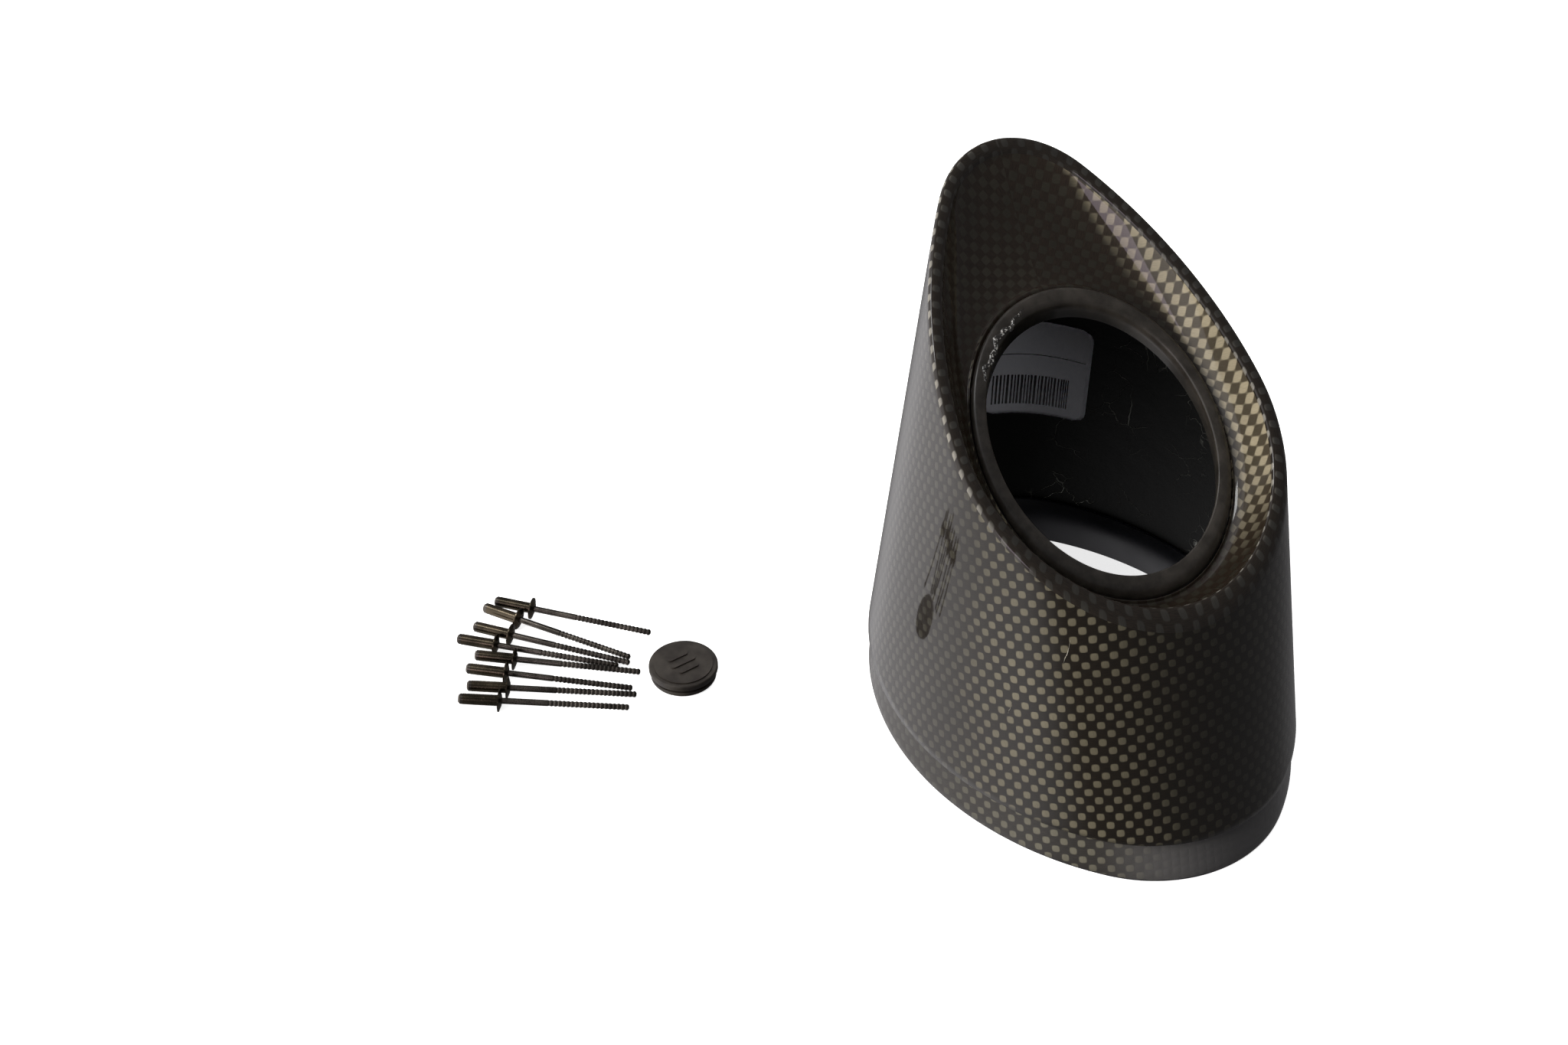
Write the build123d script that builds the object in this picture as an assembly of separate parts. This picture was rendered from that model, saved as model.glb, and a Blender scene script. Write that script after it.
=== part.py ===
from build123d import *
from math import atan2, cos, degrees, dist, pi, radians, sin
import os

# Carbon end cap for a motorcycle muffler, with its eight blind rivets and a rubber plug.
#
# The cap is an oval tube that tapers towards a slanted mouth.  A dished scoop closes the
# mouth around a round upright outlet, and a spigot ring at the foot goes into the muffler
# sleeve.  The rivets that fix the cap and the plug lie on the same flat surface beside it.
#
# Units are millimetres.  The origin is the centre of the spigot's foot, +Z goes up the
# muffler's axis, +X points to the low lip of the mouth and -X to its peak.

# Oval section at the foot: half sizes and the radius of its two noses.
HALF_LENGTH = 76.0
HALF_WIDTH = 58.5
NOSE_RADIUS = 43.5

# How much each of them shrinks for every millimetre of height.
FRONT_TAPER = 0.387
BACK_TAPER = 0.042
SIDE_TAPER = 0.133
NOSE_TAPER = 0.125

# The mouth is cut by one slanted plane: its height on the axis and its slope.
MOUTH_HEIGHT = 99.3
MOUTH_SLOPE = 0.634

# Round outlet tube, upright, cut by a slightly steeper plane than the mouth.
OUTLET_X = -2.0
OUTLET_RADIUS = 31.0
OUTLET_HEIGHT = 90.4
OUTLET_SLOPE = 0.716
COLLAR_WALL = 4.0
COLLAR_DEPTH = 5.2
COLLAR_ROUND = 1.2
COLLAR_STAND = 3.0

# Wall of the shell, and the band that its rim and the scoop's edge make together.
WALL = 1.6
RIM_BAND = 4.0
RIM_ROUND = 0.8
RIM_STEPS = 3
SCOOP_LAND = 5.0
SCOOP_SKIN = 2.2
SCOOP_SAG = 2.5
DISH_STEPS = 5

# Bond line between the pieces that are glued to each other.
BOND = 0.1

# Spigot ring: the part that shows below the shell, and the part bonded inside it.
SPIGOT_HEIGHT = 11.0
RING_HEIGHT = 16.0
RING_WALL = 1.8

# Thin heat liner on the inner wall, and the label that is stuck to it.
LINER_THICKNESS = 0.4
LINER_TOP_DROP = 10.0
LABEL_THICKNESS = 0.15
LABEL_WIDTH = 31.0
LABEL_HEIGHT = 34.0
LABEL_CORNER = 3.5
LABEL_BEARING = 147.0
LABEL_OFFSET = 20.7
LABEL_Z = 66.5

# Blind rivet, 3.2 x 10: sleeve with its flange, and the pulling mandrel.
SLEEVE_RADIUS = 1.6
SLEEVE_BORE = 0.95
SLEEVE_LENGTH = 10.0
FLANGE_RADIUS = 3.3
FLANGE_EDGE = 0.35
FLANGE_CROWN = 0.95
MANDREL_RADIUS = 0.9
MANDREL_REACH = 36.4
MANDREL_HEAD_RADIUS = 1.55
MANDREL_HEAD_LENGTH = 1.3
HEAD_GAP = 0.05
GROOVE_PITCH = 1.2
GROOVE_DEPTH = 0.14
GROOVE_COUNT = 19
TIP_CHAMFER = 0.4

# Rubber plug: two flanges with a groove between them for a sheet edge.
PLUG_RADIUS = 10.1
PLUG_LOWER_RADIUS = 9.6
PLUG_GROOVE_RADIUS = 7.6
PLUG_TOP_THICKNESS = 1.9
PLUG_GROOVE_HEIGHT = 1.1
PLUG_LOWER_THICKNESS = 1.3
PLUG_EDGE_ROUND = 0.5
PLUG_STEP = 0.3
PLUG_STEP_RADIUS = 8.6
RIB_LENGTH = 8.0
RIB_WIDTH = 1.5
RIB_PITCH = 3.0
RIB_HEIGHT = 0.35
RIB_TURN = 35.0

# The loose pieces lie in a row of their own, turned by ROW_TURN about the origin.
# Each rivet is (along, across, heading) of its flange in that row.
ROW_TURN = 67.0
RIVET_PLACES = [
    (-159.4, 31.5, -12.6),
    (-163.0, 26.6, -22.4),
    (-164.5, 19.7, -14.8),
    (-168.4, 15.3, -9.8),
    (-162.2, 9.3, -4.4),
    (-164.0, 3.4, -5.8),
    (-162.8, -2.7, -0.3),
    (-164.6, -8.0, -0.3),
]
PLUG_PLACE = (-113.3, 6.5)

# Directions in which an outline is sampled, and rounds that find where a ruling ends.
OUTLINE_STEPS = 96
DIRECTIONS = [2 * pi * step / OUTLINE_STEPS for step in range(OUTLINE_STEPS)]
SEARCH_ROUNDS = 40


def oval_point(angle, height, inset):
    """Point of the oval section at a height, where its outward normal points at angle."""
    nose = NOSE_RADIUS - NOSE_TAPER * height
    half_width = HALF_WIDTH - SIDE_TAPER * height
    front = cos(angle) >= 0
    half_length = HALF_LENGTH - (FRONT_TAPER if front else BACK_TAPER) * height
    nose_x = half_length - nose
    side = (nose_x**2 + half_width**2 - nose**2) / (2 * (half_width - nose))
    side_y = side - half_width
    on_nose = abs(sin(angle)) <= max(0.0, sin(atan2(side_y, nose_x)))
    centre_x = nose_x * (1 if front else -1) if on_nose else 0.0
    centre_y = 0.0 if on_nose else -side_y * (1 if sin(angle) > 0 else -1)
    radius = (nose if on_nose else side) - inset
    return centre_x + radius * cos(angle), centre_y + radius * sin(angle)


def mouth_z(x):
    """Height of the mouth plane above x."""
    return MOUTH_HEIGHT - MOUTH_SLOPE * x


def outlet_z(x):
    """Height of the outlet plane above x."""
    return OUTLET_HEIGHT - OUTLET_SLOPE * (x - OUTLET_X)


def between(first, second, share, sag=0.0):
    """Point part of the way from first to second, lowered by sag."""
    x, y, z = [a + (b - a) * share for a, b in zip(first, second)]
    return x, y, z - sag


def ruling(angle, inset):
    """Straight line of the tube's surface: its ends at the foot and on the mouth plane."""
    low = (*oval_point(angle, 0.0, inset), 0.0)
    height = MOUTH_HEIGHT
    for _ in range(SEARCH_ROUNDS):
        x, y = oval_point(angle, height, inset)
        height = (height + mouth_z(x)) / 2
    return low, (x, y, mouth_z(x))


def mouth_point(angle, inset, drop):
    """Point where a ruling meets the mouth plane lowered by drop."""
    low, high = ruling(angle, inset)
    below = mouth_z(low[0]) - drop
    return between(low, high, below / (below + drop))


def level_point(angle, inset, height):
    """Point of a ruling at a height."""
    low, high = ruling(angle, inset)
    return between(low, high, height / high[2])


def half_times(roundness):
    """Time of each point on half a wire: even along the foot's oval (0) or round a circle (1)."""
    half = OUTLINE_STEPS // 2
    feet = [oval_point(angle, 0.0, 0.0) for angle in DIRECTIONS[: half + 1]]
    steps = [dist(first, second) for first, second in zip(feet, feet[1:])]
    walked = [sum(steps[:count]) / sum(steps) for count in range(half + 1)]
    return [share + roundness * (count / half - share) for count, share in enumerate(walked)]


def half_edge(points, times):
    """Smooth edge through points at their times, square to the X-Z plane at both ends."""
    start = Vector(0, points[1].Y / times[1], 0)
    end = Vector(0, -points[-2].Y / (1 - times[-2]), 0)
    return Edge.make_spline(points, tangents=[start, end], parameters=times, scale=False)


def closed_wire(points, roundness=0.0):
    """Smooth closed wire through points.

    Wires share their times, so that neighbouring surfaces keep their spacing.
    """
    half = OUTLINE_STEPS // 2
    corners = [Vector(*point) for point in points]
    times = half_times(roundness)
    back_times = [1 - time for time in reversed(times)]
    left = half_edge(corners[: half + 1], times)
    right = half_edge(corners[half:] + corners[:1], back_times)
    return Wire([left, right])


def level_wire(inset, height):
    """Level outline of the tube at a height."""
    return closed_wire([level_point(angle, inset, height) for angle in DIRECTIONS])


def mouth_wire(inset, drop=0.0):
    """Outline of the tube on the lowered mouth plane."""
    return closed_wire([mouth_point(angle, inset, drop) for angle in DIRECTIONS])


def faces_between(first, second):
    """Surfaces between two wires: one flat face if they are at the same level."""
    levels = {round(vertex.Z, 6) for vertex in first.vertices() + second.vertices()}
    if len(levels) == 1:
        inner, outer = sorted([first, second], key=lambda wire: wire.length)
        return [Face(outer, [inner])]
    return [Face.make_surface_from_curves(*edges) for edges in zip(first.edges(), second.edges())]


def ring_solid(wires):
    """Closed ring whose section has its corners on the wires, taken in order."""
    faces = []
    for first, second in zip(wires, wires[1:] + wires[:1]):
        faces += faces_between(first, second)
    return Solid(Shell(faces))


def collar_point(angle, radius, drop):
    """Point of an upright circle about the outlet, on the outlet plane lowered by drop."""
    x = OUTLET_X + radius * cos(angle)
    return x, radius * sin(angle), outlet_z(x) - drop


def outer_shell():
    """Carbon outer skin from the spigot step to the mouth, with its outer rim eased."""
    turns = [radians(90 * step / RIM_STEPS) for step in range(RIM_STEPS + 1)]
    rim = [mouth_wire(RIM_ROUND * (1 - cos(turn)), RIM_ROUND * (1 - sin(turn))) for turn in turns]
    inside = [mouth_wire(WALL), level_wire(WALL, SPIGOT_HEIGHT)]
    return ring_solid([level_wire(0.0, SPIGOT_HEIGHT), *rim, *inside])


def dish_wire(share, thickness):
    """Outline part of the way down the scoop's face, or that far under it."""
    points = []
    for angle in DIRECTIONS:
        top = mouth_point(angle, RIM_BAND, 0.0)
        foot = collar_point(angle, OUTLET_RADIUS + COLLAR_WALL + BOND, COLLAR_STAND)
        sag = SCOOP_SAG * 4 * share * (1 - share)
        points.append(between(top, foot, share, sag + thickness))
    return closed_wire(points, share)


def outlet_scoop():
    """Dished skin between the rim band and the collar, with a land against the shell."""
    shares = [step / DISH_STEPS for step in range(DISH_STEPS + 1)]
    face = [dish_wire(share, 0.0) for share in shares]
    under = [dish_wire(share, SCOOP_SKIN) for share in reversed(shares[1:])]
    land = [mouth_wire(WALL + BOND, SCOOP_LAND), mouth_wire(WALL + BOND)]
    return ring_solid([*face, *under, *land])


def outlet_collar():
    """Upright ring around the outlet, between two slanted planes, with its top edges rounded."""
    outside = OUTLET_RADIUS + COLLAR_WALL
    tube = extrude(Pos(OUTLET_X, 0, 0) * (Circle(outside) - Circle(OUTLET_RADIUS)), 2 * OUTLET_HEIGHT)
    lean = atan2(OUTLET_SLOPE, 1)
    below = (Align.CENTER, Align.CENTER, Align.MAX)
    slab = Box(4 * outside, 4 * outside, COLLAR_DEPTH * cos(lean), align=below)
    ring = tube & Pos(OUTLET_X, 0, OUTLET_HEIGHT) * Rot(0, degrees(lean), 0) * slab
    top = ring.faces().filter_by(GeomType.PLANE).sort_by(Axis.Z)[-1]
    return fillet(top.edges(), COLLAR_ROUND).solid()


def skin(inset, thickness, low, drop):
    """Thin wall of the tube from a level up to the lowered mouth plane."""
    outside = [level_wire(inset, low), mouth_wire(inset, drop)]
    inside = [mouth_wire(inset + thickness, drop), level_wire(inset + thickness, low)]
    return ring_solid([*outside, *inside])


def spigot_ring():
    """Ring that goes into the muffler sleeve, bonded inside the foot of the shell."""
    outside = WALL + BOND
    inside = outside + RING_WALL
    feet = [level_wire(inside, 0.0), level_wire(outside, 0.0)]
    tops = [level_wire(outside, RING_HEIGHT), level_wire(inside, RING_HEIGHT)]
    return ring_solid([*feet, *tops])


def heat_liner():
    """Thin liner on the inner wall between the spigot ring and the scoop."""
    return skin(WALL + BOND, LINER_THICKNESS, RING_HEIGHT + BOND, LINER_TOP_DROP)


def label():
    """Label on the liner, on the inner wall of the peak side."""
    sheet = skin(WALL + BOND + LINER_THICKNESS + BOND, LABEL_THICKNESS, RING_HEIGHT, LINER_TOP_DROP)
    window = extrude(Plane.YZ * RectangleRounded(LABEL_WIDTH, LABEL_HEIGHT, LABEL_CORNER), HALF_LENGTH)
    return (sheet & (Rot(0, 0, LABEL_BEARING) * Pos(0, LABEL_OFFSET, LABEL_Z) * window)).solid()


def rivet_sleeve():
    """Sleeve and domed flange, drawn along +X with the flange's outer face at x = 0."""
    outline = Polyline(
        (-SLEEVE_LENGTH - FLANGE_CROWN, SLEEVE_BORE),
        (-SLEEVE_LENGTH - FLANGE_CROWN, SLEEVE_RADIUS),
        (-FLANGE_CROWN, SLEEVE_RADIUS),
        (-FLANGE_CROWN, FLANGE_RADIUS),
        (-FLANGE_CROWN + FLANGE_EDGE, FLANGE_RADIUS),
    )
    crown = ThreePointArc(
        outline @ 1,
        (-FLANGE_CROWN * 0.3, FLANGE_RADIUS * 0.72),
        (0, MANDREL_RADIUS * 1.8),
    )
    close = Polyline(crown @ 1, (0, SLEEVE_BORE), outline @ 0)
    return revolve(make_face([outline, crown, close]), Axis.X).solid()


def mandrel_outline():
    """Half outline of the mandrel: head, plain stretch, ring grooves and chamfered tip."""
    shoulder = -SLEEVE_LENGTH - FLANGE_CROWN - HEAD_GAP
    points = [
        (shoulder - MANDREL_HEAD_LENGTH, 0),
        (shoulder - MANDREL_HEAD_LENGTH, MANDREL_HEAD_RADIUS * 0.7),
        (shoulder - MANDREL_HEAD_LENGTH * 0.6, MANDREL_HEAD_RADIUS),
        (shoulder, MANDREL_HEAD_RADIUS),
        (shoulder, MANDREL_RADIUS),
    ]
    first = MANDREL_REACH - TIP_CHAMFER - GROOVE_COUNT * GROOVE_PITCH
    for groove in range(GROOVE_COUNT):
        start = first + groove * GROOVE_PITCH
        points.append((start, MANDREL_RADIUS))
        points.append((start + GROOVE_PITCH * 0.2, MANDREL_RADIUS - GROOVE_DEPTH))
        points.append((start + GROOVE_PITCH * 0.45, MANDREL_RADIUS - GROOVE_DEPTH))
        points.append((start + GROOVE_PITCH * 0.65, MANDREL_RADIUS))
    points.append((MANDREL_REACH - TIP_CHAMFER, MANDREL_RADIUS))
    points.append((MANDREL_REACH, MANDREL_RADIUS - TIP_CHAMFER))
    points.append((MANDREL_REACH, 0))
    return points


def rivet_mandrel():
    """Pulling mandrel, drawn along +X through the sleeve."""
    return revolve(make_face(Polyline(*mandrel_outline(), close=True)), Axis.X).solid()


def rivet_place(along, across, heading):
    """Where a rivet lies: on its flange's edge and on its mandrel's tip."""
    tip = MANDREL_REACH - TIP_CHAMFER
    tilt = atan2(FLANGE_RADIUS - MANDREL_RADIUS, tip + FLANGE_CROWN - FLANGE_EDGE)
    lift = MANDREL_RADIUS * cos(tilt) + tip * sin(tilt)
    row = Rot(0, 0, ROW_TURN) * Pos(along, across, lift)
    return row * Rot(0, 0, heading) * Rot(0, degrees(tilt), 0)


def rubber_plug():
    """Plug with a sheet groove and three plain grip ribs on its face."""
    groove_low = PLUG_LOWER_THICKNESS
    groove_high = groove_low + PLUG_GROOVE_HEIGHT
    top = groove_high + PLUG_TOP_THICKNESS
    lower = Pos(0, 0, groove_low / 2) * Cylinder(PLUG_LOWER_RADIUS, groove_low)
    neck = Pos(0, 0, (groove_low + groove_high) / 2) * Cylinder(PLUG_GROOVE_RADIUS, PLUG_GROOVE_HEIGHT)
    upper = Pos(0, 0, (groove_high + top) / 2) * Cylinder(PLUG_RADIUS, PLUG_TOP_THICKNESS)
    upper = fillet(upper.edges().filter_by(GeomType.CIRCLE), PLUG_EDGE_ROUND)
    lower = fillet(lower.edges().filter_by(GeomType.CIRCLE), PLUG_EDGE_ROUND)
    face = Pos(0, 0, top + PLUG_STEP / 2) * Cylinder(PLUG_STEP_RADIUS, PLUG_STEP)
    plug = lower + neck + upper + face
    for rib in (-1, 0, 1):
        length = RIB_LENGTH * (1 if rib == 0 else 0.8)
        bar = extrude(SlotOverall(length, RIB_WIDTH), RIB_HEIGHT)
        plug += Rot(0, 0, RIB_TURN) * Pos(0, rib * RIB_PITCH, top + PLUG_STEP) * bar
    return (Rot(0, 0, ROW_TURN) * Pos(*PLUG_PLACE, 0) * plug).solid()


def save(shape, name):
    """Write one sub-part."""
    export_step(shape, f"parts/{name}.step")


def main():
    """Build and write every sub-part."""
    os.makedirs("parts", exist_ok=True)
    save(outer_shell(), "outer_shell")
    save(outlet_scoop(), "outlet_scoop")
    save(outlet_collar(), "outlet_collar")
    save(spigot_ring(), "spigot_ring")
    save(heat_liner(), "heat_liner")
    save(label(), "label")
    sleeve = rivet_sleeve()
    mandrel = rivet_mandrel()
    for number, place in enumerate(RIVET_PLACES, start=1):
        save(rivet_place(*place) * sleeve, f"rivet_sleeve_{number}")
        save(rivet_place(*place) * mandrel, f"rivet_mandrel_{number}")
    save(rubber_plug(), "rubber_plug")


main()
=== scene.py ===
import random
from math import atan2, cos, dist, pi, radians, sin, sqrt

import bpy
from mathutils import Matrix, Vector


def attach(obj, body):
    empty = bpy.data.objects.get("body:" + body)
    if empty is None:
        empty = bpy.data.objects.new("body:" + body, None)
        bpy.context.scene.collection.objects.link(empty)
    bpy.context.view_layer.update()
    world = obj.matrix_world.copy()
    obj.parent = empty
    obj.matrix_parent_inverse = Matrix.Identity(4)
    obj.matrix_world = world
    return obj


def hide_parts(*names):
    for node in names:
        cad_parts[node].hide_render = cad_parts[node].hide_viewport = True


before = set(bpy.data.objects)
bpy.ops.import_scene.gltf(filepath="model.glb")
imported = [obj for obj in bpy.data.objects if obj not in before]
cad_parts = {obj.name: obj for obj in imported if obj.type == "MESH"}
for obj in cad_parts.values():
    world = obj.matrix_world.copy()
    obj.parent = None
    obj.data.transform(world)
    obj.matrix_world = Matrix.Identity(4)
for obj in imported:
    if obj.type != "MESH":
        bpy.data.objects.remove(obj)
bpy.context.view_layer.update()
MM = 0.001

# ---------------------------------------------------------------- sizes, in millimetres

# Oval section at the foot, and how much it shrinks for every millimetre of height.
HALF_LENGTH, HALF_WIDTH, NOSE_RADIUS = 76.0, 58.5, 43.5
FRONT_TAPER, BACK_TAPER, SIDE_TAPER, NOSE_TAPER = 0.387, 0.042, 0.133, 0.125

# Slanted plane of the mouth, and the steeper one of the outlet.
MOUTH_HEIGHT, MOUTH_SLOPE = 99.3, 0.634
OUTLET_X, OUTLET_RADIUS, OUTLET_HEIGHT, OUTLET_SLOPE = -2.0, 31.0, 90.4, 0.716
COLLAR_WALL, COLLAR_DEPTH, COLLAR_STAND = 4.0, 5.2, 3.0

# Walls, skirt and liner. Parts are bonded with a gap the width of the bond.
WALL = 1.6
BOND = 0.1
SPIGOT_HEIGHT = 11.0
STEP_EASE = 0.5
RING_HEIGHT = 16.0
RING_WALL = 1.8
LINER_THICKNESS = 0.4
LINER_FACE = WALL + 2 * BOND + LINER_THICKNESS

# Rim band: how far in from the tube's outer face and how far below the mouth plane it runs.
RIM_SECTION = [(0.0, 1.3), (0.1, 0.85), (0.35, 0.45), (0.75, 0.17), (1.3, 0.02), (2.0, 0.0),
               (2.6, 0.03), (3.15, 0.16), (3.6, 0.42), (3.88, 0.8), (4.0, 1.25)]
RIM_BAND, RIM_DROP = RIM_SECTION[-1]
RIM_MIDDLE = len(RIM_SECTION) // 2

# Scoop, with a small bead near its foot: how far down the bead is, its half width, both as
# shares of the way, and its height.
SCOOP_SKIN = 2.2
SCOOP_SAG = 2.6
SCOOP_LAND_DROP = 8.0
BEAD_SHARE, BEAD_SPREAD, BEAD_HEIGHT = 0.955, 0.045, 0.9
BEAD_SHARES = [0.91, 0.925, 0.94, 0.955, 0.97, 0.985]

# Rounding of the collar's outer edge (across and down) and of its inner edge.
COLLAR_OUTER_ACROSS, COLLAR_OUTER_DOWN = 1.7, 1.9
COLLAR_INNER_ROUND = 0.9

# Label: where its middle faces, how far round from there its points are looked for, how far it
# is to one side, its edges, and its print.
LABEL_BEARING = radians(147.0)
LABEL_REACH = radians(75)
LABEL_OFFSET = 20.7
LABEL_HALF_WIDTH = 15.4
LABEL_LOW, LABEL_HIGH = 49.6, 83.4
LABEL_CORNER = 3.5
LABEL_THICKNESS = 0.15
INK_THICKNESS = 0.02
LINE_LEFT, LINE_RIGHT, LINE_LOW, LINE_HIGH = -13.9, 13.2, 71.4, 71.65
BARS_LEFT, BARS_RIGHT, BARS_LOW, BARS_HIGH = -9.6, 13.0, 53.2, 64.0

# Cloth: width of one tow.
TOW = 2.4

# How finely the surfaces are divided.
ROUND_STEPS = 480
HALF_STEPS = ROUND_STEPS // 2
WALL_STEPS = 40
DISH_STEPS = 26
SKIRT_STEPS = 8
LABEL_STEPS = 28
WIDE_COLUMNS, BAR_COLUMNS, WIDEST_BAR = 24, 2, 5.0
SEARCH_ROUNDS = 30
DIRECTIONS = [2 * pi * step / ROUND_STEPS for step in range(ROUND_STEPS)]


# ---------------------------------------------------------------- the cap's surfaces

def oval_point(angle, height, inset):
    """Point of the oval section at a height, where its outward normal points at angle."""
    nose = NOSE_RADIUS - NOSE_TAPER * height
    half_width = HALF_WIDTH - SIDE_TAPER * height
    front = cos(angle) >= 0
    half_length = HALF_LENGTH - (FRONT_TAPER if front else BACK_TAPER) * height
    nose_x = half_length - nose
    side = (nose_x**2 + half_width**2 - nose**2) / (2 * (half_width - nose))
    side_y = side - half_width
    on_nose = abs(sin(angle)) <= max(0.0, sin(atan2(side_y, nose_x)))
    centre_x = nose_x * (1 if front else -1) if on_nose else 0.0
    centre_y = 0.0 if on_nose else -side_y * (1 if sin(angle) > 0 else -1)
    radius = (nose if on_nose else side) - inset
    return centre_x + radius * cos(angle), centre_y + radius * sin(angle)


def mouth_z(x):
    """Height of the mouth plane above x."""
    return MOUTH_HEIGHT - MOUTH_SLOPE * x


def outlet_z(x):
    """Height of the outlet plane above x."""
    return OUTLET_HEIGHT - OUTLET_SLOPE * (x - OUTLET_X)


def between(first, second, share):
    """Point part of the way from first to second."""
    return tuple(a + (b - a) * share for a, b in zip(first, second))


RULINGS = {}


def ruling(angle, inset):
    """Straight line of the tube's surface: its ends at the foot and on the mouth plane."""
    key = (round(angle, 9), inset)
    if key not in RULINGS:
        height = MOUTH_HEIGHT
        for _ in range(SEARCH_ROUNDS):
            x, y = oval_point(angle, height, inset)
            height = (height + mouth_z(x)) / 2
        RULINGS[key] = (*oval_point(angle, 0.0, inset), 0.0), (x, y, mouth_z(x))
    return RULINGS[key]


def mouth_point(angle, inset, drop):
    """Point where a ruling meets the mouth plane lowered by drop."""
    low, high = ruling(angle, inset)
    below = mouth_z(low[0]) - drop
    return between(low, high, below / (below + drop))


def level_point(angle, inset, height):
    """Point of a ruling at a height."""
    low, high = ruling(angle, inset)
    return between(low, high, height / high[2])


def collar_point(angle, radius, drop):
    """Point of an upright circle about the outlet, on the outlet plane lowered by drop."""
    x = OUTLET_X + radius * cos(angle)
    return x, radius * sin(angle), outlet_z(x) - drop


# ---------------------------------------------------------------- meshes

def unrolled(lows, highs):
    """Flat places of the ends of successive straight lines of a surface, at true distances."""
    flat_lows = [(0.0, 0.0)]
    flat_highs = [(0.0, dist(lows[0], highs[0]))]
    for step in range(1, len(lows)):
        flat_lows.append(beside(flat_lows[-1], flat_highs[-1],
                                dist(lows[step - 1], lows[step]), dist(highs[step - 1], lows[step])))
        flat_highs.append(beside(flat_lows[-1], flat_highs[-1],
                                 dist(lows[step], highs[step]), dist(highs[step - 1], highs[step])))
    return flat_lows, flat_highs


def beside(first, second, reach_first, reach_second):
    """Point to the right of the line from first to second, at given distances from both."""
    span = dist(first, second)
    along = (reach_first**2 - reach_second**2 + span**2) / (2 * span)
    out = sqrt(max(0.0, reach_first**2 - along**2))
    dx, dy = (second[0] - first[0]) / span, (second[1] - first[1]) / span
    return first[0] + dx * along + dy * out, first[1] + dy * along - dx * out


def make_object(name, points, faces, corner_uvs=None):
    """Mesh object from points in millimetres, faces and the cloth's place at each face corner."""
    mesh = bpy.data.meshes.new(name)
    mesh.from_pydata([tuple(c * MM for c in point) for point in points], [], faces)
    if corner_uvs is not None:
        layer = mesh.uv_layers.new(name="cloth")
        layer.data.foreach_set("uv", [value / TOW for uv in corner_uvs for value in uv])
    mesh.polygons.foreach_set("use_smooth", [True] * len(mesh.polygons))
    mesh.update()
    made = bpy.data.objects.new(name, mesh)
    bpy.context.scene.collection.objects.link(made)
    return made


def ring_object(name, strips):
    """Closed ring made of strips, each a list of (ring of points, half a ring of cloth places).

    The last ring of a strip is the first of the next, and the last strip ends on the first ring.
    The cloth is mirrored about the X-Z plane, so half a ring of places does for both sides.
    """
    rings = [rows[0] for strip in strips for rows in strip[:-1]]
    points = [point for ring in rings for point in ring]
    faces, uvs = [], []
    first = 0
    for strip in strips:
        for row in range(len(strip) - 1):
            low = first * ROUND_STEPS
            high = ((first + 1) % len(rings)) * ROUND_STEPS
            for step in range(ROUND_STEPS):
                following = (step + 1) % ROUND_STEPS
                faces.append((low + step, low + following, high + following, high + step))
                near, far, side = (step, step + 1, 1) if step < HALF_STEPS else (
                    ROUND_STEPS - step, ROUND_STEPS - step - 1, -1)
                for line, place in ((row, near), (row, far), (row + 1, far), (row + 1, near)):
                    u, v = strip[line][1][place]
                    uvs.append((side * u, v))
            first += 1
    return make_object(name, points, faces, uvs)


def half(ring):
    """First half of a ring of points, both ends on the X-Z plane."""
    return ring[: HALF_STEPS + 1]


def walked(ring):
    """Distance walked along half a ring up to each of its points."""
    total, lengths = 0.0, [0.0]
    for first, second in zip(half(ring), half(ring)[1:]):
        total += dist(first, second)
        lengths.append(total)
    return lengths


def band_strip(rings, middle):
    """Strip whose cloth follows the ring, with a row of tows centred on the ring numbered middle."""
    lengths = walked(rings[middle])
    across = [0.0]
    for first, second in zip(rings, rings[1:]):
        across.append(across[-1] + dist(first[HALF_STEPS // 2], second[HALF_STEPS // 2]))
    return [(ring, [(length, TOW / 2 + offset - across[middle]) for length in lengths])
            for ring, offset in zip(rings, across)]


def ruled_strip(lows, highs, shares, rings):
    """Strip whose cloth is the flat unrolled surface between two rings."""
    flat_lows, flat_highs = unrolled(half(lows), half(highs))
    return [(ring, [between(low, high, share) for low, high in zip(flat_lows, flat_highs)])
            for ring, share in zip(rings, shares)]


def mouth_ring(inset, drop):
    """Ring of the tube on the lowered mouth plane."""
    return [mouth_point(angle, inset, drop) for angle in DIRECTIONS]


def level_ring(inset, height):
    """Level ring of the tube."""
    return [level_point(angle, inset, height) for angle in DIRECTIONS]


def wall_strip(inset, low_ring_of, high_ring_of, steps):
    """Strip of the tube's wall between two rings that are functions of the angle."""
    lows, highs = zip(*(ruling(angle, inset) for angle in DIRECTIONS))
    starts = [low_ring_of(angle) for angle in DIRECTIONS]
    ends = [high_ring_of(angle) for angle in DIRECTIONS]
    flat_lows, flat_highs = unrolled(half(lows), half(highs))
    strip = []
    for step in range(steps + 1):
        share = step / steps
        ring = [between(start, end, share) for start, end in zip(starts, ends)]
        cloth = []
        for place in range(HALF_STEPS + 1):
            part = ring[place][2] / highs[place][2]
            cloth.append(between(flat_lows[place], flat_highs[place], part))
        strip.append((ring, cloth))
    return strip


def smooth(value):
    """Smooth step from 0 to 1."""
    value = min(1.0, max(0.0, value))
    return value * value * (3 - 2 * value)


def sag_at(share):
    """How far the dish sags below a straight line from the rim to the collar."""
    return SCOOP_SAG * 4 * share * (1 - share)


def bead_at(share):
    """How far the bead near the foot of the dish stands up."""
    return BEAD_HEIGHT * smooth(1 - abs(share - BEAD_SHARE) / BEAD_SPREAD)


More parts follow.
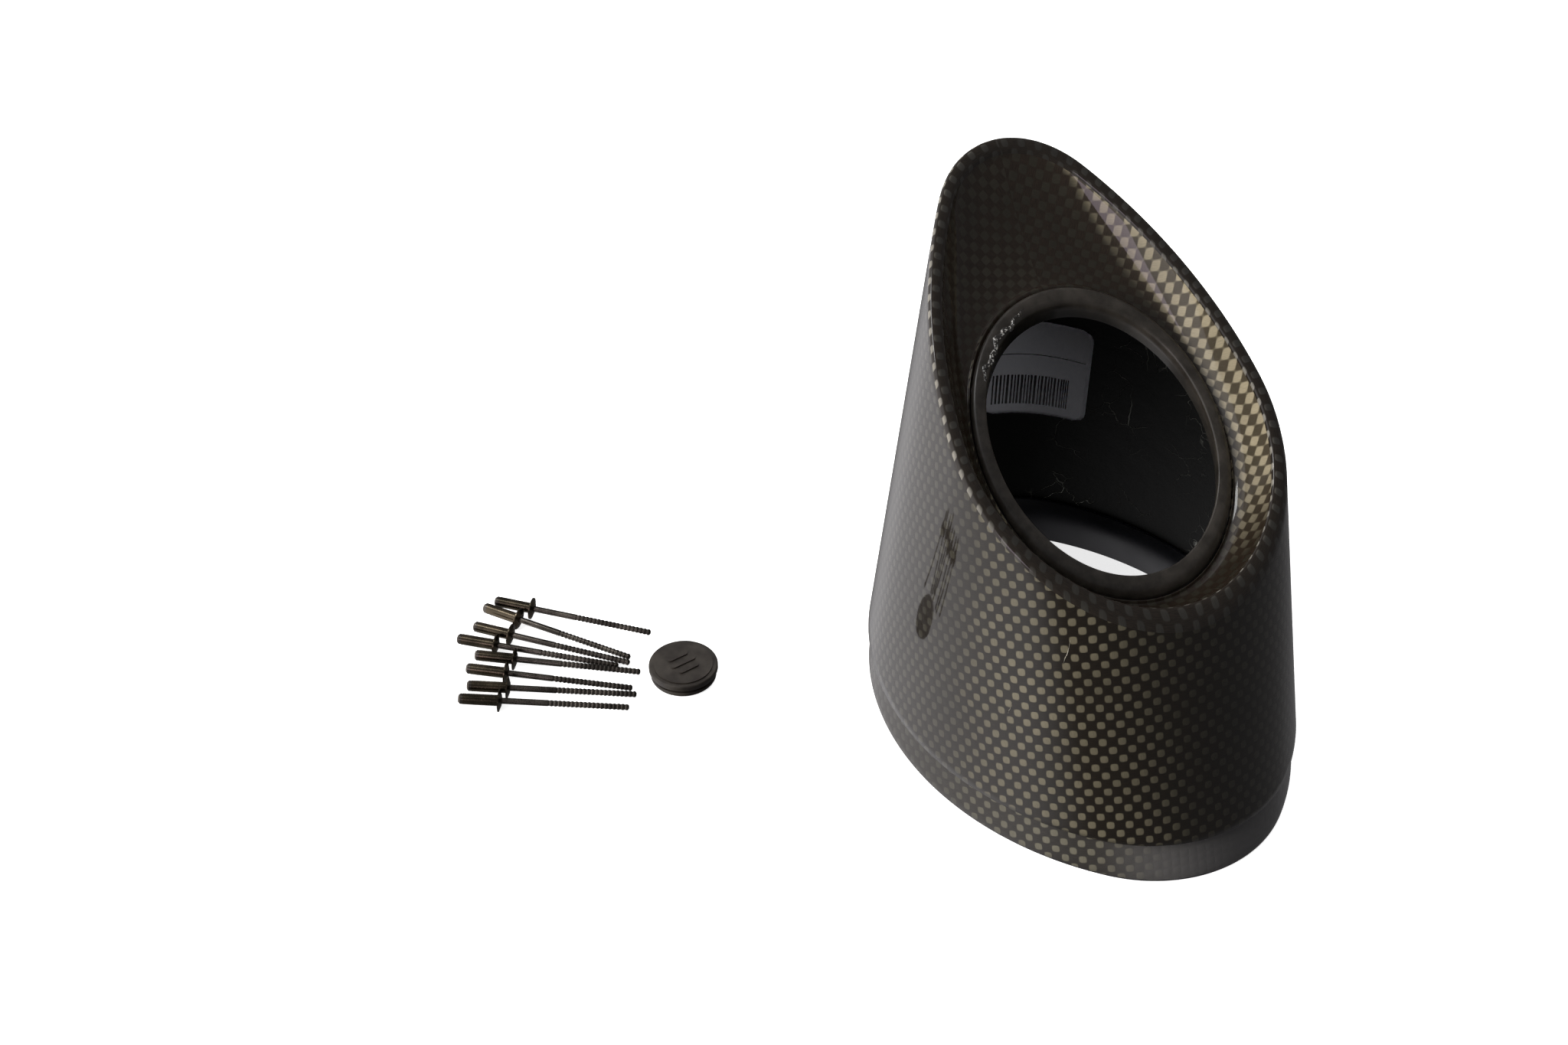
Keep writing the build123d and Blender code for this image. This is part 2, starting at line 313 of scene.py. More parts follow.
def dish_ring(share, sag, under=0.0):
    """Ring part of the way from the rim band down to the collar."""
    ring = []
    for angle in DIRECTIONS:
        top = mouth_point(angle, RIM_BAND, RIM_DROP)
        foot = collar_point(angle, OUTLET_RADIUS + COLLAR_WALL + BOND, COLLAR_STAND)
        x, y, z = between(top, foot, share)
        ring.append((x, y, z - sag - under))
    return ring


# Material slots of the carbon skin: the scoop and rim slots take copies of the cloth with painted light of
# their own.
CLOTH, SCOOP, RIM = range(3)


def cap_skin():
    """Carbon skin: outer wall, rolled rim, dished scoop, its underside and the inner wall."""
    rim = [mouth_ring(inset, drop) for inset, drop in RIM_SECTION]
    wall = wall_strip(0.0, lambda angle: level_point(angle, 0.0, SPIGOT_HEIGHT + STEP_EASE),
                      lambda angle: mouth_point(angle, 0.0, RIM_SECTION[0][1]), WALL_STEPS)
    shares = sorted([step / DISH_STEPS for step in range(DISH_STEPS + 1)] + BEAD_SHARES)
    dish_rings = [dish_ring(share, sag_at(share) - bead_at(share)) for share in shares]
    dish = ruled_strip(dish_rings[-1], dish_rings[0], [1 - share for share in shares], dish_rings)
    under = [dish_ring(quarter / 4, sag_at(quarter / 4), SCOOP_SKIN) for quarter in (4, 3, 2, 1)]
    inside = [mouth_ring(WALL, SCOOP_LAND_DROP), level_ring(WALL, SPIGOT_HEIGHT),
              level_ring(STEP_EASE, SPIGOT_HEIGHT)]
    back = [dish_rings[-1], *under, *inside, wall[0][0]]
    strips = [wall, band_strip(rim, RIM_MIDDLE), dish, band_strip(back, len(under))]
    skin = ring_object("cap_skin", strips)
    wall_faces, rim_faces = WALL_STEPS * ROUND_STEPS, (len(rim) - 1) * ROUND_STEPS
    scoop_faces = (len(shares) - 1) * ROUND_STEPS
    rest = len(skin.data.polygons) - wall_faces - rim_faces - scoop_faces
    split_finish(skin, [CLOTH] * wall_faces + [RIM] * rim_faces + [SCOOP] * scoop_faces
                 + [CLOTH] * rest)
    return skin


def split_finish(skin, indices):
    """Gives a mesh its material slots and its faces their places in them."""
    for _slot in range(max(indices) + 1):
        skin.data.materials.append(None)
    skin.data.polygons.foreach_set("material_index", indices)


def spigot_skin():
    """Spigot ring: a skirt below the wall's step, smooth inside and with its foot's edges eased."""
    outside = WALL + BOND
    inside = outside + RING_WALL
    ease, part, rise = 0.6, 0.2, 0.15
    wall = wall_strip(outside, lambda angle: level_point(angle, outside, ease),
                      lambda angle: level_point(angle, outside, RING_HEIGHT), SKIRT_STEPS)
    rest = [wall[-1][0], level_ring(inside, RING_HEIGHT), level_ring(inside, ease),
            level_ring(inside - part, rise), level_ring(inside - ease, 0.0),
            level_ring(outside + ease, 0.0), level_ring(outside + part, rise), wall[0][0]]
    skin = ring_object("spigot_skin", [wall, band_strip(rest, 2)])
    wall_faces = SKIRT_STEPS * ROUND_STEPS
    split_finish(skin, [0] * wall_faces + [1] * (len(skin.data.polygons) - wall_faces))
    return skin


def collar_skin():
    """Collar with softly rounded edges."""
    outside = OUTLET_RADIUS + COLLAR_WALL
    outer_steps, inner_steps = 6, 5
    section = [(outside, COLLAR_DEPTH), (outside, COLLAR_OUTER_DOWN)]
    for step in range(1, outer_steps + 1):
        turn = radians(90 * step / outer_steps)
        across = outside - COLLAR_OUTER_ACROSS * (1 - cos(turn))
        section.append((across, COLLAR_OUTER_DOWN * (1 - sin(turn))))
    for step in range(1, inner_steps + 1):
        turn = radians(90 * step / inner_steps)
        across = OUTLET_RADIUS + COLLAR_INNER_ROUND * (1 - sin(turn))
        section.append((across, COLLAR_INNER_ROUND * (1 - cos(turn))))
    section.append((OUTLET_RADIUS, COLLAR_DEPTH))
    rings = [[collar_point(angle, radius, drop) for angle in DIRECTIONS] for radius, drop in section]
    return ring_object("collar_skin", [band_strip([*rings, rings[0]], outer_steps)])


def nick(name, start, end, low, high):
    """Thin raised splinter on the outer wall, between two bearings in degrees and two heights.

    The sines make its outline uneven.
    """
    steps = 12
    edge_inset, ridge_inset = 0.03, -0.10
    points, faces = [], []
    for step in range(steps + 1):
        share = step / steps
        bearing = radians(start + (end - start) * share)
        height = low + (high - low) * share + 0.25 * sin(9 * share)
        half_width = 0.05 + 0.22 * sin(pi * share) * (0.6 + 0.4 * sin(14 * share))
        section = ((-half_width, edge_inset), (0.0, ridge_inset), (half_width, edge_inset))
        for rise, out in section:
            points.append(level_point(bearing, out, height + rise))
    for step in range(steps):
        corner = 3 * step
        for edge, following in ((0, 1), (1, 2), (2, 0)):
            faces.append((corner + edge, corner + 3 + edge, corner + 3 + following, corner + following))
    faces += [(0, 1, 2), (3 * steps + 2, 3 * steps + 1, 3 * steps)]
    return make_object(name, points, faces)


def glue_bead():
    """Wavy run of clear resin on the collar's inner edge, at its upper left."""
    steps, sides = 60, 12
    start, sweep = -166, 46
    sunk, flatness = 0.35, 0.6
    points, faces = [], []
    draw = random.Random(7)
    bumps = [draw.uniform(0.6, 1.5) for _ in range(steps + 1)]
    for step in range(steps + 1):
        share = step / steps
        bearing = radians(start + sweep * share)
        bump = 0.55 * bumps[step] + 0.45 * bumps[max(0, step - 1)]
        thick = 0.15 + 0.85 * sin(pi * share) ** 0.6 * bump
        middle = OUTLET_RADIUS + 1.0 + 0.5 * sin(17 * share) + 0.3 * sin(41 * share)
        x, y, z = collar_point(bearing, middle, sunk)
        for side in range(sides):
            turn = 2 * pi * side / sides
            out = thick * cos(turn)
            rise = flatness * thick * sin(turn)
            points.append((x + out * cos(bearing), y + out * sin(bearing), z + rise))
    for step in range(steps):
        for side in range(sides):
            low, high = step * sides, (step + 1) * sides
            following = (side + 1) % sides
            faces.append((low + side, low + following, high + following, high + side))
    faces += [tuple(reversed(range(sides))), tuple(steps * sides + side for side in range(sides))]
    return make_object("glue_bead", points, faces)


# ---------------------------------------------------------------- label

def liner_point(across, height, inset):
    """Point of the inner wall at a height, at a distance across the label's middle."""
    low, high = LABEL_BEARING - LABEL_REACH, LABEL_BEARING + LABEL_REACH
    for _ in range(SEARCH_ROUNDS):
        angle = (low + high) / 2
        x, y, _z = level_point(angle, inset, height)
        reach = -x * sin(LABEL_BEARING) + y * cos(LABEL_BEARING) - LABEL_OFFSET
        low, high = (angle, high) if reach < across else (low, angle)
    return level_point(angle, inset, height)


def slab(name, rows, inset, thickness):
    """Thin closed sheet on the inner wall; rows are (height, left, right) from low to high."""
    columns = WIDE_COLUMNS if rows[0][2] - rows[0][1] > WIDEST_BAR else BAR_COLUMNS
    faces, points = [], []
    for depth in (inset, inset + thickness):
        for height, left, right in rows:
            for column in range(columns + 1):
                across = left + (right - left) * column / columns
                points.append(liner_point(across, height, depth))
    width, count = columns + 1, len(rows) * (columns + 1)
    for row in range(len(rows) - 1):
        for column in range(columns):
            corner = row * width + column
            faces.append((corner, corner + 1, corner + width + 1, corner + width))
            back = [count + value for value in (corner, corner + width, corner + width + 1, corner + 1)]
            faces.append(tuple(back))
    edge = list(range(width)) + [row * width + columns for row in range(1, len(rows))]
    edge += [count - 1 - column for column in range(1, width)]
    edge += [row * width for row in range(len(rows) - 2, 0, -1)]
    for first, second in zip(edge, edge[1:] + edge[:1]):
        faces.append((second, first, count + first, count + second))
    return make_object(name, points, faces)


def label_sheet():
    """Label with rounded corners."""
    rows = []
    for step in range(LABEL_STEPS + 1):
        height = LABEL_LOW + (LABEL_HIGH - LABEL_LOW) * step / LABEL_STEPS
        to_edge = min(height - LABEL_LOW, LABEL_HIGH - height)
        cut = 0.0
        if to_edge < LABEL_CORNER:
            cut = LABEL_CORNER - sqrt(LABEL_CORNER**2 - (LABEL_CORNER - to_edge)**2)
        rows.append((height, cut - LABEL_HALF_WIDTH, LABEL_HALF_WIDTH - cut))
    return slab("label_sheet", rows, LINER_FACE, LABEL_THICKNESS)


def label_ink():
    """Ink on the label: one thin line and a block of plain bars."""
    face = LINER_FACE + LABEL_THICKNESS
    line = [(height, LINE_LEFT, LINE_RIGHT) for height in (LINE_LOW, LINE_HIGH)]
    inks = [slab("label_line", line, face, INK_THICKNESS)]
    draw = random.Random(4)
    thin_bars = 3
    across, number = BARS_LEFT, 0
    while across < BARS_RIGHT:
        width = 0.34 if number < thin_bars else draw.choice((0.42, 0.55, 0.68))
        gap = 0.30 if number < thin_bars else draw.choice((0.42, 0.48, 0.56))
        heights = (BARS_LOW, (BARS_LOW + BARS_HIGH) / 2, BARS_HIGH)
        bar = [(height, across, across + width) for height in heights]
        inks.append(slab(f"label_bar_{number}", bar, face, INK_THICKNESS))
        across += width + gap
        number += 1
    bpy.ops.object.select_all(action="DESELECT")
    for piece in inks:
        piece.select_set(True)
    bpy.context.view_layer.objects.active = inks[0]
    bpy.ops.object.join()
    inks[0].name = "label_ink"
    return inks[0]


# ---------------------------------------------------------------- materials

class Maker:
    """Short calls for the nodes of one material."""

    def __init__(self, name):
        self.material = bpy.data.materials.new(name)
        self.material.use_nodes = True
        self.tree = self.material.node_tree
        self.shader = self.tree.nodes["Principled BSDF"]

    def node(self, kind, **settings):
        """Shader node of a kind, with its settings."""
        made = self.tree.nodes.new("ShaderNode" + kind)
        for key, value in settings.items():
            setattr(made, key, value)
        return made

    def link(self, source, target):
        """Joins an output to an input."""
        self.tree.links.new(source, target)

    def feed(self, socket, value):
        """Gives an input a plain value or another node's output."""
        if isinstance(value, (int, float, tuple)):
            socket.default_value = value
        else:
            self.link(value, socket)

    def math(self, operation, first, second=0.0, third=0.0):
        """Result of a sum, a product or another operation."""
        made = self.node("Math", operation=operation)
        for socket, value in zip(made.inputs, (first, second, third)):
            self.feed(socket, value)
        return made.outputs[0]

    def span(self, value, low, high, to_low=0.0, to_high=1.0, kind="SMOOTHSTEP"):
        """Value moved from one span to another and held inside it."""
        made = self.node("MapRange", interpolation_type=kind)
        for socket, item in zip(made.inputs, (value, low, high, to_low, to_high)):
            self.feed(socket, item)
        return made.outputs[0]

    def noise(self, vector, scale, detail=3.0, rough=0.5):
        """Cloudy pattern."""
        made = self.node("TexNoise")
        self.link(vector, made.inputs["Vector"])
        made.inputs["Scale"].default_value = scale
        made.inputs["Detail"].default_value = detail
        made.inputs["Roughness"].default_value = rough
        return made.outputs["Fac"]

    def mix(self, share, first, second):
        """Blend of two colours."""
        made = self.node("Mix", data_type="RGBA")
        self.feed(made.inputs[0], share)
        for socket, value in ((made.inputs[6], first), (made.inputs[7], second)):
            self.feed(socket, value)
        return made.outputs[2]

    def scaled(self, vector, factors):
        """Place stretched along each axis."""
        made = self.node("VectorMath", operation="MULTIPLY")
        self.link(vector, made.inputs[0])
        made.inputs[1].default_value = factors
        return made.outputs[0]

    def bump(self, height, strength, distance, normal=None):
        """Normal of a surface raised by a pattern, on top of another normal if one is given."""
        made = self.node("Bump")
        made.inputs["Strength"].default_value = strength
        made.inputs["Distance"].default_value = distance
        self.link(height, made.inputs["Height"])
        if normal is not None:
            self.link(normal, made.inputs["Normal"])
        return made.outputs["Normal"]

    def object_place(self):
        """Place on the piece, in its own frame."""
        return self.node("TexCoord").outputs["Object"]

    def facing(self, direction):
        """How squarely the surface faces a direction."""
        made = self.node("VectorMath", operation="DOT_PRODUCT")
        self.link(self.node("TexCoord").outputs["Normal"], made.inputs[0])
        made.inputs[1].default_value = Vector(direction).normalized()
        return made.outputs["Value"]

    def set(self, **values):
        """Gives inputs of the shader their values; their names have _ for a space."""
        for name, value in values.items():
            self.feed(self.shader.inputs[name.replace("_", " ")], value)


def brighter(colour, times):
    """Opaque colour, some times as bright."""
    return (*(min(1.0, part * times) for part in colour[:3]), 1.0)


def carbon(name, light, dark, coat, rough, sheen, painted_veil=None, full=(0.06, 0.46), lift=0.0):
    """Plain-weave carbon cloth under resin, with the tows that run up the part on top as dots.

    The sheen is painted on, a painted highlight: a direction, the span of facings over which the
    shine comes up, and how much of it is left elsewhere. The veil is a painted reflection: a
    direction, the span of facings over which a plain lighter grey covers the weave, and that grey.
    Full is the span of the weave's height over which a dot comes up, and lift how much of the
    dots' painted shine the tows between them take on.
    """
    m = Maker(name)
    place = m.object_place()
    towards, span, least = sheen
    # Painted highlight, set by facing alone: how strongly the dots shine.
    shine = m.span(m.facing(towards), *span, least, 1.0)
    cloth = m.node("UVMap", uv_map="cloth").outputs["UV"]
    parts = m.node("SeparateXYZ")
    m.link(cloth, parts.inputs[0])
    shift = m.math("MULTIPLY", m.math("SUBTRACT", m.noise(place, 90.0, 2.0), 0.5), 0.35)
    wave_u = m.math("SINE", m.math("MULTIPLY", m.math("ADD", parts.outputs[0], shift), pi))
    wave_v = m.math("SINE", m.math("MULTIPLY", m.math("ADD", parts.outputs[1], shift), pi))
    weave = m.math("MULTIPLY", wave_u, wave_v)
    dot = m.span(weave, *full)
    fibre_up = m.noise(m.scaled(cloth, (26.0, 1.2, 1.0)), 1.0, 2.0)
    fibre_round = m.noise(m.scaled(cloth, (1.2, 26.0, 1.0)), 1.0, 2.0)
    patches = m.span(m.noise(place, 45.0, 3.0), 0.25, 0.75, 0.65, 1.25, "LINEAR")
    tone_and_painted_sheen = m.math("MULTIPLY", patches, m.span(fibre_up, 0.2, 0.8, 0.75, 1.2, "LINEAR"))
    # Painted highlight: the shine lightens the dots where the surface faces the sheen's direction.
    tone_and_painted_sheen = m.math("MULTIPLY", tone_and_painted_sheen, shine)
    grey = m.node("CombineColor")
    for socket in list(grey.inputs)[:3]:
        m.link(tone_and_painted_sheen, socket)
    tint = m.node("Mix", data_type="RGBA", blend_type="MULTIPLY")
    for socket, value in ((tint.inputs[0], 1.0), (tint.inputs[6], light)):
        socket.default_value = value
    m.link(grey.outputs[0], tint.inputs[7])
    dark_tow = m.mix(m.span(fibre_round, 0.3, 0.75), dark, brighter(dark, 2.2))
    # Painted highlight: the tows between the dots take on part of the painted shine.
    if lift:
        dark_tow = m.mix(m.math("MULTIPLY", shine, lift), dark_tow, tint.outputs[2])
    colour = m.mix(dot, dark_tow, tint.outputs[2])
    # Painted reflection: where the surface faces the given direction, the weave gives way to a plain
    # lighter grey (the colour held in resin) that stands in for light reflected there.
    if painted_veil:
        direction, reach, resin = painted_veil
        colour = m.mix(m.span(m.facing(direction), *reach), colour, resin)
    m.set(Base_Color=colour,
          Roughness=m.span(dot, 0.0, 1.0, rough + 0.1, rough, "LINEAR"),
          Specular_IOR_Level=0.15, Coat_Weight=coat, Coat_Roughness=0.045, Coat_IOR=1.5)
    m.link(m.bump(m.math("ABSOLUTE", weave), 0.35, 0.00012), m.shader.inputs["Normal"])
    m.link(m.bump(m.noise(place, 260.0, 4.0), 0.04, 0.0002), m.shader.inputs["Coat Normal"])
    return m.material


def satin_composite():
    """Dark grey-brown moulded ring with a mottled, slightly waxy face."""
    m = Maker("satin_composite")
    place = m.object_place()
    mottle = m.noise(place, 160.0, 5.0, 0.65)
    grain = m.noise(place, 900.0, 3.0, 0.6)
    colour = m.mix(m.span(mottle, 0.3, 0.72), (0.020, 0.017, 0.014, 1), (0.052, 0.045, 0.038, 1))
    m.set(Base_Color=colour, Roughness=m.span(mottle, 0.25, 0.75, 0.30, 0.48, "LINEAR"),
          Coat_Weight=0.35, Coat_Roughness=0.12)
    rough = m.bump(mottle, 0.25, 0.0005)
    m.link(m.bump(grain, 0.10, 0.0001, rough), m.shader.inputs["Normal"])
    return m.material


def inner_ring():
    """Smooth blue-black moulded face of the inside of the spigot."""
    m = Maker("inner_ring")
    place = m.object_place()
    cloud = m.noise(place, 70.0, 3.0)
    colour = m.mix(cloud, (0.010, 0.011, 0.016, 1), (0.020, 0.021, 0.028, 1))
    m.set(Base_Color=colour, Roughness=m.span(cloud, 0.3, 0.7, 0.38, 0.5, "LINEAR"))
    m.link(m.bump(m.noise(place, 500.0, 3.0), 0.1, 0.0001), m.shader.inputs["Normal"])
    return m.material


def heat_liner():
    """Dark foil with fine silvery creases."""
    m = Maker("heat_liner")
    place = m.object_place()
    warp = m.noise(place, 30.0, 4.0, 0.6)
    bent = m.node("VectorMath", operation="ADD")
    m.link(place, bent.inputs[0])
    push = m.node("CombineXYZ")
    shift = m.math("MULTIPLY", m.math("SUBTRACT", warp, 0.5), 0.03)
    for socket in push.inputs:
        m.link(shift, socket)
    m.link(push.outputs[0], bent.inputs[1])
    cells = m.node("TexVoronoi", feature="DISTANCE_TO_EDGE")
    m.link(bent.outputs[0], cells.inputs["Vector"])
    cells.inputs["Scale"].default_value = 95.0
    crease = m.span(cells.outputs["Distance"], 0.0, 0.02, 1.0, 0.0)
    where = m.span(m.noise(place, 24.0, 2.0), 0.49, 0.62)
    line = m.math("MULTIPLY", crease, where)
    colour = m.mix(line, (0.0045, 0.005, 0.004, 1), (0.36, 0.37, 0.33, 1))
    m.set(Base_Color=colour, Roughness=m.span(line, 0.0, 1.0, 0.6, 0.3, "LINEAR"),
          Metallic=m.math("MULTIPLY", line, 0.7), Specular_IOR_Level=0.12)
    dents = m.noise(place, 120.0, 4.0, 0.6)
    pressed = m.bump(line, 0.6, 0.0006)
    m.link(m.bump(dents, 0.4, 0.0008, pressed), m.shader.inputs["Normal"])
    return m.material


def bare_resin():
    """Chipped resin: pale, dry and rough."""
    m = Maker("bare_resin")
    cloud = m.noise(m.object_place(), 2500.0, 3.0)
    m.set(Base_Color=m.mix(cloud, (0.32, 0.29, 0.23, 1), (0.75, 0.72, 0.64, 1)), Roughness=0.6)
    m.link(m.bump(cloud, 0.5, 0.0001), m.shader.inputs["Normal"])
    return m.material


def resin_with_painted_glints():
    """Wet-looking clear resin that catches the light; its pale specks are painted glints."""
    m = Maker("resin_with_painted_glints")
    cloud = m.noise(m.object_place(), 1500.0, 3.0)
    # Painted highlight: the pale specks in the colour stand in for glints.
    m.set(Base_Color=m.mix(m.span(cloud, 0.5, 0.66), (0.015, 0.013, 0.011, 1), (0.62, 0.60, 0.57, 1)),
          Roughness=0.08, Coat_Weight=1.0, Coat_Roughness=0.02, Specular_IOR_Level=0.8)
    m.link(m.bump(m.noise(m.object_place(), 900.0, 3.0), 0.6, 0.0004), m.shader.inputs["Normal"])
    return m.material


def paper():
    """White label film, with a faint lilac-grey tint painted in for the colour it takes in shade."""
    m = Maker("label_film")
    place = m.object_place()
    cloud = m.noise(place, 60.0, 3.0)
    colour = m.mix(cloud, (0.78, 0.78, 0.85, 1), (0.86, 0.86, 0.93, 1))
    m.set(Base_Color=colour, Roughness=0.42)
    m.link(m.bump(m.noise(place, 1500.0, 2.0), 0.05, 0.00005), m.shader.inputs["Normal"])
    return m.material


def ink():
    """Black print."""
    m = Maker("label_print")
    cloud = m.noise(m.object_place(), 700.0, 2.0)
    m.set(Base_Color=m.mix(cloud, (0.006, 0.006, 0.007, 1), (0.014, 0.014, 0.015, 1)), Roughness=0.5)
    return m.material


def burnished(name, dark, light, rough):
    """Dark burnished steel with brown and straw tints and fine wear."""
    m = Maker(name)
    place = m.object_place()
    tints = m.noise(place, 110.0, 3.0, 0.6)
    wear = m.noise(place, 2200.0, 3.0, 0.6)
    colour = m.mix(m.span(tints, 0.35, 0.7), dark, light)
    bright = m.mix(m.span(wear, 0.6, 0.85), colour, brighter(light, 1.5))
    m.set(Base_Color=bright, Metallic=1.0, Roughness=m.span(wear, 0.2, 0.8, rough, rough + 0.18, "LINEAR"))
    m.link(m.bump(wear, 0.02, 0.00001), m.shader.inputs["Normal"])
    return m.material


def moulded_rubber():
    """Black rubber with a soft mould texture and dusty bloom."""
    m = Maker("moulded_rubber")
    place = m.object_place()
    bloom = m.noise(place, 130.0, 5.0, 0.6)
    grain = m.noise(place, 1400.0, 3.0, 0.6)
    colour = m.mix(m.span(bloom, 0.35, 0.75), (0.016, 0.013, 0.011, 1), (0.040, 0.034, 0.028, 1))
    m.set(Base_Color=colour, Roughness=m.span(bloom, 0.3, 0.7, 0.36, 0.55, "LINEAR"))
    m.link(m.bump(grain, 0.15, 0.00008, m.bump(bloom, 0.1, 0.0003)), m.shader.inputs["Normal"])
    return m.material


def dress(thing, *materials):
    """Gives an object its materials, slot by slot."""
    slots = thing.data.materials
    for number, material in enumerate(materials):
        if number < len(slots):
            slots[number] = material
        else:
            slots.append(material)


def add_piece(piece, body, slot, materials, *replaced):
    """Puts a new piece on its body, with its finish, in place of CAD nodes."""
    dress(piece, *materials)
    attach(piece, body)
    if replaced:
        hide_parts(*replaced)


# ---------------------------------------------------------------- studio

def studio():
    """Pale glowing floor, soft lights and a dim room."""
    side = 20.0
    mesh = bpy.data.meshes.new("floor")
    corners = [(-side, -side, 0), (side, -side, 0), (side, side, 0), (-side, side, 0)]
    mesh.from_pydata(corners, [], [(0, 1, 2, 3)])
    floor = bpy.data.objects.new("floor", mesh)
    bpy.context.scene.collection.objects.link(floor)
    m = Maker("pale_floor")
    m.set(Base_Color=(0.92, 0.92, 0.92, 1), Roughness=0.8,
          Emission_Color=(1, 1, 1, 1), Emission_Strength=0.78)
    dress(floor, m.material)
    floor.visible_glossy = False
    floor.visible_diffuse = False
    add_world()
    add_area("key", -94, 14, 1.3, 0.8, 26.0, (1.0, 0.97, 0.90), glossy=False)
    add_area("fill", 0, 36, 1.5, 0.9, 1.9, (1.0, 1.0, 1.0), glossy=False)
    add_area("back", 150, 30, 1.5, 1.2, 24.0, (1.0, 1.0, 1.0), glossy=False)
    add_area("side_above", -88, 52, 1.2, 0.60, 2.8, (1.0, 1.0, 1.0), glossy=False)
    add_area("streak", -51, 24, 1.2, 0.30, 0.62, (1.0, 0.84, 0.98), diffuse=False)
    add_area("strip", -112, 64, 1.3, 0.26, 1.5, (1.0, 1.0, 1.0), diffuse=False)
    add_area("above", 100, 80, 1.6, 1.4, 4.0, (1.0, 1.0, 1.0), glossy=False)


# Point that the lights face, in metres.
LIT_MIDDLE = Vector((0, 0, 0.06))


def add_area(name, heading, lift, reach, size, power, colour, glossy=True, diffuse=True):
    """Square area light that faces the middle of the cap.

    Heading and lift are its direction from there in degrees, and reach its distance in metres.
    """
    light = bpy.data.lights.new(name, "AREA")
    light.size = size
    light.energy = power
    light.color = colour
    lamp = bpy.data.objects.new(name, light)
    around, up = radians(heading), radians(lift)
    towards = Vector((cos(up) * cos(around), cos(up) * sin(around), sin(up))) * reach
    lamp.location = LIT_MIDDLE + towards
    lamp.rotation_euler = (-towards).to_track_quat("-Z", "Y").to_euler()
    lamp.visible_glossy = glossy
    lamp.visible_diffuse = diffuse
    bpy.context.scene.collection.objects.link(lamp)


def add_world():
    """Room that gives no diffuse light: pale to the left of the cap, dim to its right and above."""
    world = bpy.data.worlds.new("room")
    bpy.context.scene.world = world
    world.use_nodes = True
    world.cycles_visibility.diffuse = False
    nodes, links = world.node_tree.nodes, world.node_tree.links
    place = nodes.new("ShaderNodeTexCoord").outputs["Generated"]

    def glow(direction, *span):
        """Brightness that changes with how squarely the room is seen in a direction."""
        facing = nodes.new("ShaderNodeVectorMath")
        facing.operation = "DOT_PRODUCT"
        links.new(place, facing.inputs[0])
        facing.inputs[1].default_value = Vector(direction).normalized()
        fade = nodes.new("ShaderNodeMapRange")
        fade.interpolation_type = "SMOOTHSTEP"
        for socket, value in zip(list(fade.inputs)[1:5], span):
            socket.default_value = value
        links.new(facing.outputs["Value"], fade.inputs[0])
        return fade.outputs[0]

    side = glow((-0.57, -0.82, 0.0), 0.12, 0.56, 0.0, 1.0)
    front = glow((0.0, -1.0, 0.0), 0.1, 0.9, 0.58, 0.90)
    total = nodes.new("ShaderNodeMath")
    total.operation = "MULTIPLY_ADD"
    links.new(side, total.inputs[0])
    links.new(front, total.inputs[1])
    total.inputs[2].default_value = 0.12
    background = nodes["Background"]
    background.inputs[0].default_value = (1.0, 0.98, 1.0, 1.0)
    links.new(total.outputs[0], background.inputs[1])


def camera():
    """Camera at the photograph's viewing angle."""
    lens = bpy.data.cameras.new("camera")
    lens.sensor_width = 36.0
    lens.lens = 43.08
    lens.clip_start = 0.01
    eye = bpy.data.objects.new("camera", lens)
    eye.location = (0.32913, -0.23032, 0.37937)
    eye.rotation_euler = (radians(51.1), 0.0, radians(67.08))
    bpy.context.scene.collection.objects.link(eye)
    bpy.context.scene.camera = eye


def dress_cad():
    """Finishes of the CAD nodes that stay in view."""
    sleeve = burnished("sleeve_steel", (0.055, 0.048, 0.034, 1), (0.16, 0.13, 0.09, 1), 0.17)
    wire = burnished("mandrel_steel", (0.065, 0.058, 0.05, 1), (0.19, 0.17, 0.145, 1), 0.20)
    for number in range(1, 9):
        dress(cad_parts[f"rivet_sleeve_{number}"], sleeve)
        dress(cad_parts[f"rivet_mandrel_{number}"], wire)
    dress(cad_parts["heat_liner"], heat_liner())
    dress(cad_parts["rubber_plug"], moulded_rubber())


